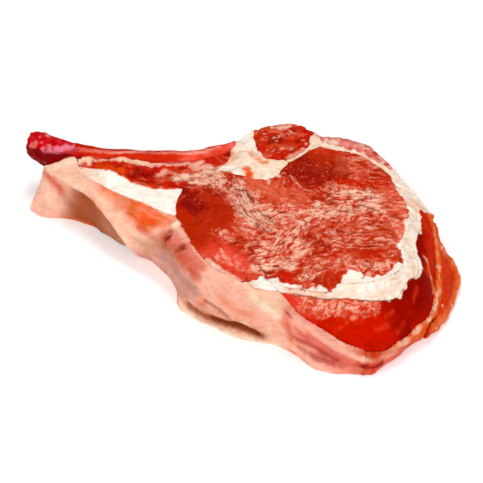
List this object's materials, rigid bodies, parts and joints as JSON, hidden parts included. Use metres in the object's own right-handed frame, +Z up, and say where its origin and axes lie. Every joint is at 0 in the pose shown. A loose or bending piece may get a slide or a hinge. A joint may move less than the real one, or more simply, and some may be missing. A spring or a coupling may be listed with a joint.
{
  "type": "raw rib steak on the bone",
  "caption": "Thick raw rib steak on the bone lying on its cut face: round eye muscle ringed by fat, drooping outer cap, fat-covered tail and a long curved rib.",
  "frame": {"origin": "on the flat lower face, under the middle of the steak's bounding box", "axes": "+X from the free end of the rib towards the outer flap, +Z up out of the upper cut face, +Y from the fat-covered long side towards the rib and chine"},
  "size_m": [0.2822, 0.176, 0.05],
  "materials": {
    "bone": "rib blade under a thin wet red skin with pale streaks",
    "cartilage_fat": "cream fat and cartilage, waxy",
    "coarse_muscle": "coarse red bundles with pale strands, moist",
    "eye_muscle": "crinkled red cut face with pale glossy creases, moist",
    "white_fat": "crumbly white fat, waxy",
    "smooth_muscle": "smooth deep red muscle, wet gloss",
    "skin_fat": "salmon and cream fat under a thin dried skin, satin",
    "dried_muscle": "rough orange-red dried edge, satin",
    "purple_muscle": "thin dusky red muscle with pale skin, moist",
    "ragged_muscle": "dark red ragged meat with pale shreds, moist"
  },
  "bodies": {
    "root": {"rib_bone": "bone", "chine_fat": "cartilage_fat", "chine_muscle": "coarse_muscle", "eye_muscle": "eye_muscle", "seam_fat": "white_fat", "cap_muscle": "smooth_muscle", "rim_fat": "skin_fat", "outer_flap": "dried_muscle", "back_flap": "purple_muscle", "side_fat": "skin_fat", "tail_fat": "white_fat", "tail_meat": "ragged_muscle"}
  },
  "joints": []
}
